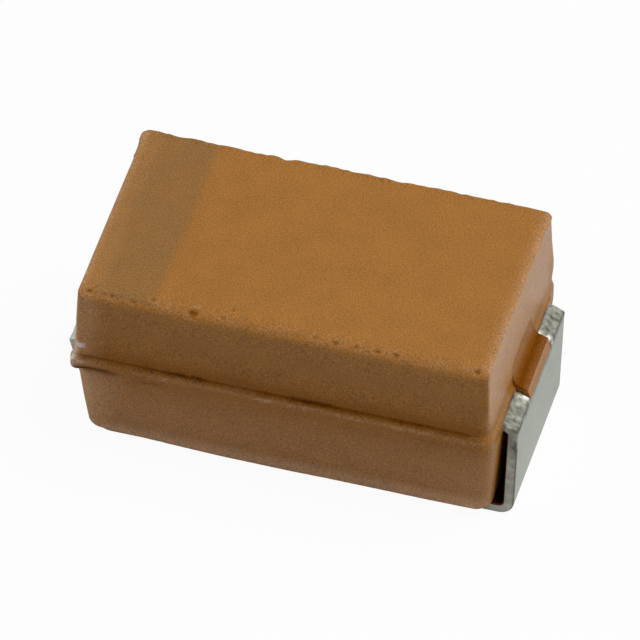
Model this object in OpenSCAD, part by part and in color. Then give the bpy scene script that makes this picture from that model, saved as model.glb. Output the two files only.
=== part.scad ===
// Moulded chip capacitor with a sintered niobium oxide slug, C case.
// Millimetres. The board is the plane z = 0, +Z points up and +X points at the cathode end.
// The origin lies midway between the outer faces of the two terminals.

/* [Case] */
// Length of the upper half at its lower edge
case_length = 5.38; // [5.2:0.02:5.8]
// Width of the upper half at its lower edge
case_width = 3.06; // [2.96:0.02:3.4]
// Height of the case's top above the board
case_height = 2.8; // [2.74:0.02:3.2]
// Gap between the board and the case's underside
standoff = 0.12; // [0.06:0.01:0.14]
// Draft of the upper half's four walls, degrees
upper_draft = 2.2; // [0.5:0.1:4]
// How far the lower half is longer than the upper half
lower_extra_length = 0.06; // [-0.04:0.01:0.1]
// How far the lower half is narrower than the upper half
lower_less_width = 0.06; // [0.02:0.01:0.1]
// How far the mould's lower half sits towards the cathode end
lower_shift = 0.015; // [0:0.005:0.03]
// Draft of the lower half's long walls, degrees
lower_side_draft = 7.7; // [4:0.1:12]
// Draft of the lower half's end walls, degrees
lower_end_draft = 4; // [1:0.1:6]
// Radius of the upright corners at the top
top_corner_radius = 0.07; // [0.07:0.01:0.12]
// Radius of the upright corners at the parting belt
belt_corner_radius = 0.2; // [0.1:0.01:0.24]
// Radius of the lower half's upright corners
lower_corner_radius = 0.24; // [0.12:0.01:0.28]
// Radius of the top's edges
top_edge_radius = 0.055; // [0.03:0.005:0.07]
// Radius of the underside's edges
bottom_edge_radius = 0.14; // [0.08:0.01:0.16]

/* [Parting belt] */
// Height of the belt that the mould leaves round the parting line
belt_height = 0.27; // [0.22:0.01:0.34]
// How far the belt stands proud of the upper half's long walls
belt_side_proud = 0.02; // [0.01:0.005:0.04]
// How far the belt stands proud of the upper half's end walls, the mean of both ends
belt_end_proud = 0.04; // [0.02:0.005:0.06]
// How far the belt sits towards the anode end
belt_shift = 0.01; // [0:0.005:0.03]
// Height over which the belt's underside slopes in to the lower half
belt_slope = 0.02; // [0.01:0.005:0.04]
// Depth of the groove above the belt along the long walls
groove_depth = 0.035; // [0.02:0.005:0.05]
// Depth of the groove above the belt at the end walls
groove_end_depth = 0.01; // [0.005:0.005:0.02]
// Height of the groove above the belt
groove_height = 0.035; // [0.02:0.005:0.05]

/* [Terminals] */
// Height above the board at which the terminals leave the case, to their underside
terminal_plane = 1.46; // [1.4:0.01:1.52]
// Width of a terminal
terminal_width = 2.2; // [2:0.05:2.3]
// Thickness of the terminal strip
terminal_thickness = 0.14; // [0.1:0.01:0.15]
// How far the cathode terminal stands out from the case's end
cathode_projection = 0.25; // [0.23:0.01:0.34]
// How far the anode terminal stands out from the case's end
anode_projection = 0.18; // [0.15:0.01:0.34]
// Slope of the terminals' legs where they leave the case, degrees
leg_slope = 26; // [10:1:40]
// Length over which the legs slope
leg_run = 0.18; // [0.16:0.01:0.24]
// Outside radius of the crease between legs and plate
crease_radius = 0.05; // [0.02:0.01:0.08]
// Inside radius of that crease
crease_inside_radius = 0.03; // [0.01:0.01:0.04]
// Inside radius of the terminals' other bends
bend_radius = 0.07; // [0.04:0.01:0.09]
// Lean of the cathode's plate towards the case at its foot, degrees
cathode_lean = 1.8; // [0:0.1:4]
// Lean of the anode's plate towards the case at its foot, degrees
anode_lean = 14; // [0:0.5:15]
// Length of a terminal's foot under the case, from its outer face
foot_length = 1.3; // [1:0.05:1.5]
// Clearance above a foot in its recess and behind a plate
foot_clearance = 0.03; // [0.02:0.005:0.05]
// Clearance at each side of a foot and a plate
side_clearance = 0.012; // [0.01:0.001:0.03]
// Width of the window in each terminal's upper bend
window_width = 1; // [0.8:0.05:1.2]
// How far the window reaches down from the terminal's top
window_drop = 0.16; // [0.14:0.01:0.2]

/* [Lead exits] */
// Height of the shoulder over the terminal's legs
shoulder_height = 0.17; // [0.14:0.01:0.3]
// How far the shoulder covers the terminal
shoulder_reach = 0.05; // [0.04:0.005:0.09]
// How far the shoulder runs past each edge of the terminal
shoulder_margin = 0.08; // [0.04:0.01:0.12]
// Height of the concave fillet over the nub in the terminal's window
fillet_height = 0.42; // [0.34:0.01:0.5]
// Height of that fillet at the nub's two ends
fillet_end_height = 0.27; // [0.2:0.01:0.32]
// Length over which the fillet rounds down to each end
fillet_round = 0.2; // [0.1:0.01:0.3]
// How far the nub stays behind the terminal's outer face
nub_setback = 0.01; // [0.005:0.005:0.04]
// How far the nub's outer face leans back to its upper edge
nub_lean = 0.04; // [0.02:0.005:0.06]
// Height of the nub's upper edge over the terminal's top
nub_rise = 0.02; // [0.01:0.005:0.04]
// Height of the crease between fillet and nub over the terminal's top
crease_rise = 0.06; // [0.05:0.005:0.08]
// Place of that crease, as a share of the way from the case's end to the nub's upper edge
crease_share = 0.4; // [0.3:0.05:0.6]
// Gap between the nub and the window's edges
nub_gap = 0.02; // [0.01:0.005:0.03]

/* [Slug] */
// Length of the sintered slug
slug_length = 3.3; // [3:0.05:3.4]
// Width of the sintered slug
slug_width = 2.1; // [1.8:0.05:2.2]
// Height of the sintered slug
slug_height = 1.34; // [1.1:0.02:1.4]
// Thickness of the graphite and silver coat on the slug
coat_thickness = 0.05; // [0.03:0.01:0.06]
// Thickness of the conductive adhesive between coat and cathode terminal
adhesive_thickness = 0.04; // [0.03:0.01:0.06]
// Diameter of the anode wire
wire_diameter = 0.3; // [0.24:0.02:0.36]
// Depth of the anode wire in the slug
wire_depth = 1.6; // [1:0.1:2.4]
// How much of the wire the weld to its tab flattens
weld_flat = 0.03; // [0.02:0.01:0.05]
// Length of the weld between wire and tab
weld_length = 0.45; // [0.3:0.05:0.5]
// Diameter of the washer on the wire
washer_diameter = 0.8; // [0.6:0.05:1]
// Thickness of the washer on the wire
washer_thickness = 0.14; // [0.1:0.01:0.16]
// Clear wire between the washer and the anode tab
wire_clear = 0.2; // [0.15:0.01:0.25]

/* [Inner tabs] */
// Width of the tabs inside the case
tab_width = 1.6; // [1.2:0.05:1.8]
// Mould wall between the cathode's riser and the case's end
riser_wall = 0.5; // [0.45:0.01:0.55]
// Length of the cathode's shelf under the slug
shelf_length = 1.9; // [1.2:0.05:2.4]
// How far the window's legs run into the case before the tab starts
leg_length = 0.2; // [0.15:0.01:0.25]

/* [Hidden] */

epoxy_colour = [0.65, 0.42, 0.2];
tin_colour = [0.68, 0.7, 0.65];
slug_colour = [0.2, 0.21, 0.25];
niobium_colour = [0.55, 0.55, 0.58];
washer_colour = [0.92, 0.92, 0.9];
silver_colour = [0.75, 0.75, 0.73];
adhesive_colour = [0.6, 0.6, 0.58];

// Steps along each corner, edge and bend
corner_steps = 8;
edge_steps = 4;
bend_steps = 10;
$fn = 64;
// A cutter's reach past the face that it opens
cut = 0.1;
// How deep in the end wall a fillet's upper edge starts
fillet_root = 0.012;

// The case stands off the middle by half the difference between its terminals' projections.
case_shift = (anode_projection - cathode_projection) / 2;

// Heights of the parting belt, from the terminals' own plane
terminal_top = terminal_plane + terminal_thickness;
belt_top = terminal_plane + belt_height;
groove_floor = belt_top - groove_height;

// How far the walls lean in over each half's height
upper_lean = (case_height - top_edge_radius - belt_top) * tan(upper_draft);
lower_side_lean = (terminal_plane - belt_slope - standoff) * tan(lower_side_draft);
lower_end_lean = (terminal_plane - belt_slope - standoff) * tan(lower_end_draft);

// Outer faces of the plates, from the case's middle
cathode_reach = case_length / 2 + cathode_projection;
anode_reach = case_length / 2 + anode_projection;
outer_radius = bend_radius + terminal_thickness;

// Wire, slug and coat
wire_z = terminal_top + wire_diameter / 2 - weld_flat;
slug_bottom = wire_z - slug_height / 2;
shelf_top = slug_bottom - coat_thickness - adhesive_thickness;
riser_outer_x = case_length / 2 - riser_wall;
riser_inner_x = riser_outer_x - terminal_thickness;
slug_right_x = riser_inner_x - adhesive_thickness - coat_thickness;
slug_left_x = slug_right_x - slug_length;
washer_left_x = slug_left_x - washer_thickness;
tab_tip_x = washer_left_x - wire_clear;
wire_left_x = tab_tip_x - weld_length;

// The points of one arc, from one angle to another
function arc(centre, radius, from, to, steps) =
    [for (i = [0:steps]) let (a = from + (to - from) * i / steps) centre + radius * [cos(a), sin(a)]];

// One rounded rectangle of the case at a height, counter-clockwise from above
function ring(middle_x, half_length, half_width, radius, z) =
    [for (q = [0:3])
        let (cx = middle_x + (q == 0 || q == 3 ? 1 : -1) * (half_length - radius),
             cy = (q < 2 ? 1 : -1) * (half_width - radius))
        for (p = arc([cx, cy], radius, 90 * q, 90 * q + 90, corner_steps)) [p[0], p[1], z]];

// The case's sections from its underside to its top
function upper_ring(end_inset, side_inset, radius, z) =
    ring(0, case_length / 2 - end_inset, case_width / 2 - side_inset, radius, z);
function lower_ring(end_inset, side_inset, z) =
    ring(lower_shift, (case_length + lower_extra_length) / 2 - end_inset,
         (case_width - lower_less_width) / 2 - side_inset, lower_corner_radius, z);
function groove_ring(end_inset, side_inset, z) = upper_ring(end_inset, side_inset, belt_corner_radius, z);
function belt_ring(z) =
    ring(-belt_shift, case_length / 2 + belt_end_proud, case_width / 2 + belt_side_proud,
         belt_corner_radius, z);

bottom_rings =
    [for (i = [0:edge_steps])
        let (a = 90 * i / edge_steps, step = bottom_edge_radius * (1 - sin(a)))
        lower_ring(lower_end_lean + step, lower_side_lean + step,
                   standoff + bottom_edge_radius * (1 - cos(a)))];
belt_rings = [
    lower_ring(0, 0, terminal_plane - belt_slope),
    belt_ring(terminal_plane),
    belt_ring(terminal_top),
    groove_ring(0, 0, groove_floor),
    groove_ring(groove_end_depth, groove_depth, groove_floor),
    groove_ring(groove_end_depth, groove_depth, belt_top),
    groove_ring(0, 0, belt_top)];
top_rings =
    [for (i = [0:edge_steps])
        let (a = 90 * i / edge_steps, inset = upper_lean + top_edge_radius * (1 - cos(a)))
        upper_ring(inset, inset, top_corner_radius, case_height - top_edge_radius * (1 - sin(a)))];

// A closed loft through rings with equal numbers of points
module loft(rings) {
    n = len(rings[0]);
    last = len(rings) - 1;
    points = [for (r = rings) for (p = r) p];
    sides = [for (k = [0:last - 1]) for (i = [0:n - 1])
        let (j = (i + 1) % n) [k * n + i, (k + 1) * n + i, (k + 1) * n + j, k * n + j]];
    bottom = [for (i = [0:n - 1]) i];
    top = [for (i = [0:n - 1]) last * n + n - 1 - i];
    polyhedron(points, concat([bottom], sides, [top]));
}

// A profile drawn in X and Z, carried along Y over a width about the middle
module across(width) {
    rotate([90, 0, 0])
        linear_extrude(width, center = true)
            children();
}

// Unit steps along a direction and to its right
function along(a) = [cos(a), sin(a)];
function aside(a) = [sin(a), -cos(a)];

// The points of a bend, where a strip's edge turns clockwise at a corner from one direction to another
function bend(corner, from, to, radius) =
    let (centre = corner - radius * tan((from - to) / 2) * along(from) + radius * aside(from))
    [for (i = [0:bend_steps]) centre - radius * aside(from + (to - from) * i / bend_steps)];

// The matching corner on the strip's inner side
function inner_corner(corner, from, to) =
    corner + terminal_thickness * (aside(from) - tan((from - to) / 2) * along(from));

// The corner between legs and plate, for a crease whose outermost point stands at reach
function crease_corner(reach, lean) =
    let (x = reach - crease_radius,
         fall = (leg_run - crease_radius * (1 - sin(leg_slope))) * tan(leg_slope),
         z = terminal_top - fall - crease_radius * cos(leg_slope),
         middle = -(90 + lean + leg_slope) / 2)
    [x, z] - crease_radius / cos((90 + lean - leg_slope) / 2) * aside(middle);

function back(points) = [for (i = [len(points) - 1:-1:0]) points[i]];

// Section of one terminal outside the case: sloping legs, a crease, a leaning plate and a flat foot
module outer_strip(reach, lean, inner_x) {
    plate = -90 - lean;
    leg = [reach - leg_run, terminal_top];
    crease = crease_corner(reach, lean);
    heel = [crease[0] - crease[1] * tan(lean), 0];
    tip_x = reach - foot_length;
    polygon(concat(
        [[inner_x, terminal_top]],
        bend(leg, 0, -leg_slope, outer_radius),
        bend(crease, -leg_slope, plate, crease_radius),
        bend(heel, plate, -180, outer_radius),
        [[tip_x, 0], [tip_x, terminal_thickness]],
        back(bend(inner_corner(heel, plate, -180), plate, -180, bend_radius)),
        back(bend(inner_corner(crease, -leg_slope, plate), -leg_slope, plate, crease_inside_radius)),
        back(bend(inner_corner(leg, 0, -leg_slope), 0, -leg_slope, bend_radius)),
        [[inner_x, terminal_plane]]));
}

// Section of the cathode's tab: in from the end wall, down its riser and along its shelf
module cathode_tab_section(inner_x) {
    high = [riser_outer_x + bend_radius, terminal_plane - bend_radius];
    low = [riser_inner_x - bend_radius, shelf_top + bend_radius];
    shelf_tip = riser_inner_x - shelf_length;
    polygon(concat(
        [[inner_x, terminal_top]],
        arc(high, outer_radius, 90, 180, bend_steps),
        arc(low, bend_radius, 0, -90, bend_steps),
        [[shelf_tip, shelf_top], [shelf_tip, shelf_top - terminal_thickness]],
        arc(low, outer_radius, -90, 0, bend_steps),
        arc(high, bend_radius, 180, 90, bend_steps),
        [[inner_x, terminal_plane]]));
}

// The window through a terminal's legs and upper bend
module window(reach) {
    leg_x = case_length / 2 - leg_length;
    translate([leg_x, -window_width / 2, terminal_top - window_drop])
        cube([reach - leg_x + cut, window_width, window_drop + cut]);
}

// The outer part of one terminal, with its plate at +X
module outer_terminal(reach, lean, inner_x) {
    difference() {
        across(terminal_width)
            outer_strip(reach, lean, inner_x);
        window(reach);
    }
}

module cathode_strip() {
    joint_x = case_length / 2 - leg_length - terminal_thickness;
    outer_terminal(cathode_reach, cathode_lean, joint_x);
    across(tab_width)
        cathode_tab_section(joint_x);
}

module anode_strip() {
    joint_x = case_length / 2 - leg_length - terminal_thickness;
    mirror([1, 0, 0])
        outer_terminal(anode_reach, anode_lean, joint_x);
    translate([-joint_x, -tab_width / 2, terminal_plane])
        cube([joint_x + tab_tip_x, tab_width, terminal_thickness]);
}

module slug_block() {
    translate([slug_left_x, -slug_width / 2, slug_bottom])
        cube([slug_length, slug_width, slug_height]);
}

// The wire, round but for the flat that its weld leaves on the tab
module wire_rod() {
    difference() {
        translate([wire_left_x, 0, wire_z])
            rotate([0, 90, 0])
                cylinder(d = wire_diameter, h = slug_left_x + wire_depth - wire_left_x);
        translate([wire_left_x - cut, -wire_diameter, terminal_plane])
            cube([weld_length + cut, 2 * wire_diameter, terminal_thickness]);
    }
}

// The washer without its hole
module washer_disc() {
    translate([washer_left_x, 0, wire_z])
        rotate([0, 90, 0])
            cylinder(d = washer_diameter, h = washer_thickness);
}

// The coated slug's outer block: every face but the wire's own is covered
module coated_block() {
    translate([slug_left_x, -slug_width / 2 - coat_thickness, slug_bottom - coat_thickness])
        cube([slug_length + coat_thickness, slug_width + 2 * coat_thickness,
              slug_height + 2 * coat_thickness]);
}

// Where the adhesive lies, under the slug and up its end, as wide as the tab
module adhesive_block() {
    translate([riser_inner_x - shelf_length, -tab_width / 2, shelf_top])
        cube([shelf_length, tab_width, terminal_plane - bend_radius - shelf_top]);
}

// Points of a concave fillet from the upper half's end wall down to a crease
function fillet(height, crease) =
    let (z = terminal_top + height,
         wall_x = case_length / 2 - (z - belt_top) * tan(upper_draft) - fillet_root)
    [for (i = [0:bend_steps]) let (a = 90 * i / bend_steps)
        [crease[0] - (crease[0] - wall_x) * cos(a), z - (z - crease[1]) * sin(a)]];

// Section of a lead exit: a fillet, then the points that lead on down to the terminal's plane
function exit_section(height, crease, rest) =
    let (root_x = case_length / 2 - height)
    concat([[root_x, terminal_plane], [root_x, terminal_top + height]], fillet(height, crease), rest);

// Places along half the nub and the fillet's height at each, from its end to where it has rounded up
nub_end = window_width / 2 - nub_gap;
nub_half =
    [for (i = [0:edge_steps])
        let (a = 90 * i / edge_steps)
        [nub_end - fillet_round * (1 - cos(a)),
         fillet_end_height + (fillet_height - fillet_end_height) * sin(a)]];

// The nub that fills the terminal's window, lofted along it: a fillet, a crease, a ledge and an outer face
module nub(reach) {
    foot_x = reach - nub_setback;
    edge_x = foot_x - nub_lean;
    crease_x = case_length / 2 + crease_share * (edge_x - case_length / 2);
    stations = concat(
        [for (s = nub_half) [-s[0], s[1]]],
        [for (i = [edge_steps:-1:0]) nub_half[i]]);
    loft([for (s = stations)
        let (section = exit_section(s[1], [crease_x, terminal_top + crease_rise],
                                    [[edge_x, terminal_top + nub_rise], [foot_x, terminal_plane]]))
        [for (p = section) [p[0], s[0], p[1]]]]);
}

// Shoulder over the terminal's legs and the nub between them, at +X
module lead_exit(reach) {
    shoulder_x = case_length / 2 + shoulder_reach;
    across(terminal_width + 2 * shoulder_margin)
        polygon(exit_section(shoulder_height, [shoulder_x, terminal_top], [[shoulder_x, terminal_plane]]));
    nub(reach);
}

// Room behind one terminal's plate and above its foot, at +X
module terminal_room(reach, lean) {
    crease = inner_corner(crease_corner(reach, lean), -leg_slope, -90 - lean);
    recess_top = terminal_thickness + foot_clearance;
    recess_tip = reach - foot_length - foot_clearance;
    behind = foot_clearance / cos(lean);
    across(terminal_width + 2 * side_clearance)
        polygon([
            [recess_tip, -cut],
            [recess_tip, recess_top],
            [crease[0] - behind - (crease[1] - recess_top) * tan(lean), recess_top],
            [crease[0] - behind - (crease[1] - terminal_plane) * tan(lean), terminal_plane],
            [reach + cut, terminal_plane],
            [reach + cut, -cut]]);
}

// Everything that the case is moulded round
module insert() {
    cathode_strip();
    anode_strip();
    coated_block();
    adhesive_block();
    wire_rod();
    washer_disc();
}

// Places a piece drawn about the case's middle in the part's frame
module placed() {
    translate([case_shift, 0, 0])
        children();
}

module moulded_case() {
    color(epoxy_colour)
        placed()
            difference() {
                union() {
                    loft(concat(bottom_rings, belt_rings, top_rings));
                    lead_exit(cathode_reach);
                    mirror([1, 0, 0])
                        lead_exit(anode_reach);
                }
                terminal_room(cathode_reach, cathode_lean);
                mirror([1, 0, 0])
                    terminal_room(anode_reach, anode_lean);
                insert();
            }
}

module cathode_terminal() {
    color(tin_colour)
        placed()
            cathode_strip();
}

module anode_terminal() {
    color(tin_colour)
        placed()
            anode_strip();
}

module niobium_oxide_slug() {
    color(slug_colour)
        placed()
            difference() {
                slug_block();
                wire_rod();
            }
}

module anode_wire() {
    color(niobium_colour)
        placed()
            wire_rod();
}

module wire_washer() {
    color(washer_colour)
        placed()
            difference() {
                washer_disc();
                wire_rod();
            }
}

module silver_coat() {
    color(silver_colour)
        placed()
            difference() {
                coated_block();
                slug_block();
            }
}

module silver_adhesive() {
    color(adhesive_colour)
        placed()
            difference() {
                adhesive_block();
                coated_block();
                cathode_strip();
            }
}

moulded_case();
cathode_terminal();
anode_terminal();
niobium_oxide_slug();
anode_wire();
wire_washer();
silver_coat();
silver_adhesive();
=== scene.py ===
import math
from itertools import product
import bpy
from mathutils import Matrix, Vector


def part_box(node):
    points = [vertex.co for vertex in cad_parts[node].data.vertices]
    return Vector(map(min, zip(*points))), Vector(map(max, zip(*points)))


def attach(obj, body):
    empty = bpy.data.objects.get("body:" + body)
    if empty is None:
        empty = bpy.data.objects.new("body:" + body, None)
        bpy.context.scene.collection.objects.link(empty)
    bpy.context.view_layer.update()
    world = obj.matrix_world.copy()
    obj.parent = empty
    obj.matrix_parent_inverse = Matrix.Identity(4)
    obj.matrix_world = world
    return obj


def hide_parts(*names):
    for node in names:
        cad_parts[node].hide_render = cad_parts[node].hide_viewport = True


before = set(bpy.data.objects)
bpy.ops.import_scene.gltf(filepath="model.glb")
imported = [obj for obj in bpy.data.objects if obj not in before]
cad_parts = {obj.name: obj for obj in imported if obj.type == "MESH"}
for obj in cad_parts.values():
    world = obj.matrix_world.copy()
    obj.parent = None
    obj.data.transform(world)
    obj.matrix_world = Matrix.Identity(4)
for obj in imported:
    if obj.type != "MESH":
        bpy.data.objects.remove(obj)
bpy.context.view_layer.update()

from types import SimpleNamespace

import bpy
import numpy as np
from mathutils import Matrix, Vector

MM = 0.001


def solid_box(node):
    """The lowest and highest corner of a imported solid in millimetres, rounded to a ten-thousandth."""
    return np.round(np.array(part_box(node)) / MM, 4)


case_box, cathode_box, anode_box = map(solid_box, ("moulded_case", "cathode_terminal", "anode_terminal"))

# Sizes in millimetres and angles in degrees, with x from the case's middle and z from the board
CASE_SHIFT = -0.035

# The case's two halves: heights, lengths, widths, edges, drafts and corners
STANDOFF, CASE_HEIGHT = case_box[:, 2]
CASE_LENGTH, CASE_WIDTH, TOP_EDGE, BOTTOM_EDGE = 5.38, 3.06, 0.055, 0.14
LOWER_LENGTH, LOWER_WIDTH, LOWER_SHIFT = 5.44, 3.0, 0.015
UPPER_DRAFT, LOWER_SIDE_DRAFT, LOWER_END_DRAFT = np.tan(np.radians([2.2, 7.7, 4.0]))
TOP_CORNER, BELT_CORNER, LOWER_CORNER = 0.07, 0.2, 0.24
END_WALL, SIDE_WALL = CASE_LENGTH / 2 - 0.2, 1.3  # what lies further out belongs to a wall

# The belt at the parting line, how far it stands proud, and the groove over it
BELT_FOOT, BELT_TOP = 1.44, 1.73
BELT_SIDE, BELT_END, BELT_SHIFT = 0.02, 0.04, -0.01
GROOVE_DEPTH, GROOVE_END_DEPTH, GROOVE_FLOOR = 0.035, 0.01, 1.695
UPPER_LEAN = (CASE_HEIGHT - TOP_EDGE - BELT_TOP) * UPPER_DRAFT

# The terminals' strip: its reach and foot, its faces at the case's wall, its window and bends
CATHODE_REACH, CATHODE_LEAN = cathode_box[1, 0] - CASE_SHIFT, 1.8
ANODE_REACH, ANODE_LEAN = CASE_SHIFT - anode_box[0, 0], 14.0
FOOT_LENGTH = anode_box[1, 0] - anode_box[0, 0]
TERMINAL_HALF, TERMINAL_TOP = cathode_box[1, 1:]
THICKNESS = 0.14
TERMINAL_PLANE = TERMINAL_TOP - THICKNESS
WINDOW_HALF, WINDOW_FOOT = 0.5, 1.44
BEND, CREASE, CREASE_INSIDE, LEG_SLOPE, LEG_RUN = 0.07, 0.05, 0.03, 26.0, 0.18

# Their tabs inside the case
TAB_HALF, JOINT_X, RISER_X, SHELF_TOP, ANODE_TIP = 0.8, 2.35, 2.05, 0.96, -1.68
SHELF_TIP = cathode_box[0, 0] - CASE_SHIFT

# The lead exits: the shoulder over the legs, the fillet over the nub, and the nub in the window
SHOULDER_HEIGHT, SHOULDER_REACH, SHOULDER_END = 0.17, 0.05, 1.18
FILLET_HEIGHT, FILLET_END_HEIGHT, FILLET_ROUND, FILLET_ROOT = 0.42, 0.27, 0.2, 0.012
NUB_END, NUB_SETBACK, NUB_LEAN, NUB_EDGE = 0.48, 0.01, 0.04, 1.62
CREASE_SHARE, CREASE_Z = 0.4, 1.66

# The rooms in the case behind the plates and over the feet
CLEARANCE, ROOM_END, ROOM_TOP = 0.03, 1.112, 0.17


# Surfaces

def value_noise(points, cell, seed):
    """Smooth noise from -1 to 1: random values at the corners of cubic cells, blended by smoothstep."""
    shuffle = np.random.default_rng(seed).permutation(256)
    values = np.random.default_rng(seed + 1).uniform(-1, 1, 256)
    place = np.asarray(points) / cell + 100
    base = np.floor(place).astype(int)
    part = place - base
    part = part * part * (3 - 2 * part)
    total = np.zeros(place.shape[:-1])
    for step in product((0, 1), repeat=3):
        i, j, k = np.moveaxis(base + step, -1, 0)
        corner = values[shuffle[(shuffle[(shuffle[i % 256] + j) % 256] + k) % 256]]
        total += corner * np.prod(np.where(step, part, 1 - part), axis=-1)
    return total


def ramp(values, low, high):
    """0 below low, 1 above high, smoothstep between; the other way round where low is the larger."""
    share = np.clip((values - low) / (high - low), 0, 1)
    return share * share * (3 - 2 * share)


def hump(values, middle, spread):
    """A bell curve of height 1 about a middle."""
    return np.exp(-((values - middle) / spread) ** 2)


def vertex_normals(points, quads):
    """Unit normals at the points: the crossed diagonals of the quads round each one, added up."""
    a, b, c, d = (points[quads[:, n]] for n in range(4))
    cross = np.cross(c - a, d - b)
    total = np.zeros_like(points)
    for n in range(4):
        np.add.at(total, quads[:, n], cross)
    return total / np.maximum(np.linalg.norm(total, axis=1, keepdims=True), 1e-12)


def make_piece(name, points, quads, material, sharp_angle):
    """One mesh object from points in millimetres about the case's middle and their quads."""
    mesh = bpy.data.meshes.new(name)
    placed = (points + [CASE_SHIFT, 0, 0]) * MM
    mesh.from_pydata(placed.tolist(), [], quads.tolist())
    mesh.update()
    mesh.shade_smooth()
    mesh.set_sharp_from_angle(angle=math.radians(sharp_angle))
    mesh.materials.append(material)
    piece = bpy.data.objects.new(name, mesh)
    bpy.context.scene.collection.objects.link(piece)
    return piece


def paint(piece, name, values, domain="POINT"):
    """Stores one number for each point or face of a piece, for its material to read."""
    layer = piece.data.attributes.new(name, "FLOAT", domain)
    layer.data.foreach_set("value", np.ascontiguousarray(values, dtype=np.float32))


# The moulded case's form

def side_lines(fixed, stretched, corner):
    """Grid lines along a side of a rounded rectangle, from the middle of one corner to that of the next.

    A line lies at F + S * (half side - radius - reach) + radius * C along the side, and at
    radius * (1 - N) in from it: half a corner, lines that stretch with the section, fixed lines, and
    the mirror image of the first two.
    """
    reach = fixed[-1]
    turn = np.linspace(np.pi / 4, 0, corner + 1)
    share = np.linspace(1, 0, stretched + 2)[1:-1]
    half = np.concatenate([
        np.stack([np.full(corner + 1, -reach), np.full(corner + 1, -1.0), -np.sin(turn), np.cos(turn)]),
        np.stack([np.full(stretched, -reach), -share, np.zeros(stretched), np.ones(stretched)])], axis=1)
    middle = np.stack([fixed, np.zeros_like(fixed), np.zeros_like(fixed), np.ones_like(fixed)])
    mirror = half[:, ::-1] * [[-1], [-1], [-1], [1]]
    return np.concatenate([half, middle, mirror], axis=1), reach


def even_lines(reach, spacing, steps):
    """Even numbers from -reach to reach, with a close pair at each step and no other line near it."""
    half_pair, clear_share = 0.001, 0.3
    even = np.linspace(-reach, reach, 2 * round(reach / spacing) + 1)
    pairs = np.concatenate([[place - half_pair, place + half_pair] for place in steps])
    clear = np.abs(even[:, None] - np.asarray(steps)).min(axis=1) > clear_share * spacing
    return np.sort(np.concatenate([even[clear], pairs]))


def lower_rows():
    """Sections of the lower half from the underside's edge up: a quarter round, then a drafted wall.

    Each is a height, a middle, a half length, a half width and a corner's radius. The round is tighter
    at the left end, and so are the corners low down.
    """
    near_belt, left_tighter, corner_tighter = 1.36, 0.25, 0.2
    turn = np.linspace(0, np.pi / 2, 8)
    foot_z = STANDOFF + BOTTOM_EDGE * (1 - np.cos(turn))
    wall_z = np.concatenate([np.linspace(foot_z[-1], near_belt, 16)[1:],
                             np.linspace(near_belt, BELT_FOOT, 5)[1:]])
    z = np.concatenate([foot_z, wall_z])
    lean = np.clip((BELT_FOOT - z) / (BELT_FOOT - foot_z[-1]), 0, 1) * (BELT_FOOT - STANDOFF)
    rounding = np.concatenate([BOTTOM_EDGE * (1 - np.sin(turn)), np.zeros(len(wall_z))])
    tighter = left_tighter * rounding
    length = LOWER_LENGTH / 2 - lean * LOWER_END_DRAFT - rounding + tighter
    width = LOWER_WIDTH / 2 - lean * LOWER_SIDE_DRAFT - rounding
    corner = LOWER_CORNER * (1 - corner_tighter * ramp(z, 1.3, 0.6))
    return [z, LOWER_SHIFT - tighter, length, width, corner]


def upper_rows():
    """Sections of the upper half, as in lower_rows: belt, groove, drafted wall and quarter round."""
    over_fillets, corner_start, groove_open, groove_lip = 2.06, 2.3, 0.4, 0.01
    turn = np.linspace(0, np.pi / 2, 8)[1:]
    belt_z = np.concatenate([np.linspace(TERMINAL_PLANE, TERMINAL_TOP, 8),
                             np.linspace(NUB_EDGE, CREASE_Z, 5)])
    proud = np.clip((GROOVE_FLOOR - belt_z) / (GROOVE_FLOOR - TERMINAL_TOP), 0, 1)
    groove_z = np.linspace(GROOVE_FLOOR - groove_lip, BELT_TOP + groove_lip, 9)
    sunk = groove_open * np.sin(np.linspace(0, np.pi, 9)) ** 2
    wall_z = np.concatenate([np.linspace(groove_z[-1], over_fillets, 14)[1:],
                             np.linspace(over_fillets, CASE_HEIGHT - TOP_EDGE, 17)[1:]])
    top_z = CASE_HEIGHT - TOP_EDGE * (1 - np.sin(turn))
    z = np.concatenate([belt_z, groove_z, wall_z, top_z])
    draft = np.concatenate([np.zeros(len(belt_z) + len(groove_z)), (wall_z - BELT_TOP) * UPPER_DRAFT,
                            UPPER_LEAN + TOP_EDGE * (1 - np.cos(turn))])
    rest = np.zeros(len(wall_z) + len(top_z))
    ends = np.concatenate([-BELT_END * proud, GROOVE_END_DEPTH * sunk, rest]) + draft
    sides = np.concatenate([-BELT_SIDE * proud, GROOVE_DEPTH * sunk, rest]) + draft
    middle = np.concatenate([BELT_SHIFT * proud, np.zeros(len(groove_z)), rest])
    corner = TOP_CORNER + (BELT_CORNER - TOP_CORNER) * ramp(z, corner_start, BELT_TOP)
    return [z, middle, CASE_LENGTH / 2 - ends, CASE_WIDTH / 2 - sides, corner]


def fillet_reach(z, height, crease_x, crease_z):
    """How far a concave fillet stands out at a height, from the wall to its crease.

    It is the mean of a quarter ellipse and a straight slope.
    """
    top = TERMINAL_TOP + height
    wall = CASE_LENGTH / 2 - (top - BELT_TOP) * UPPER_DRAFT - FILLET_ROOT
    drop = np.clip((top - z) / (top - crease_z), 0, 1)
    return crease_x - (crease_x - wall) * (0.5 * np.sqrt(1 - drop ** 2) + 0.5 * (1 - drop))


def arch_height(y):
    """Height of the nub's fillet over the terminal: full in the middle, quarter circles down to the ends."""
    share = np.clip((np.abs(y) - NUB_END + FILLET_ROUND) / FILLET_ROUND, 0, 1)
    return FILLET_END_HEIGHT + (FILLET_HEIGHT - FILLET_END_HEIGHT) * np.sqrt(1 - share ** 2)


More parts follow.
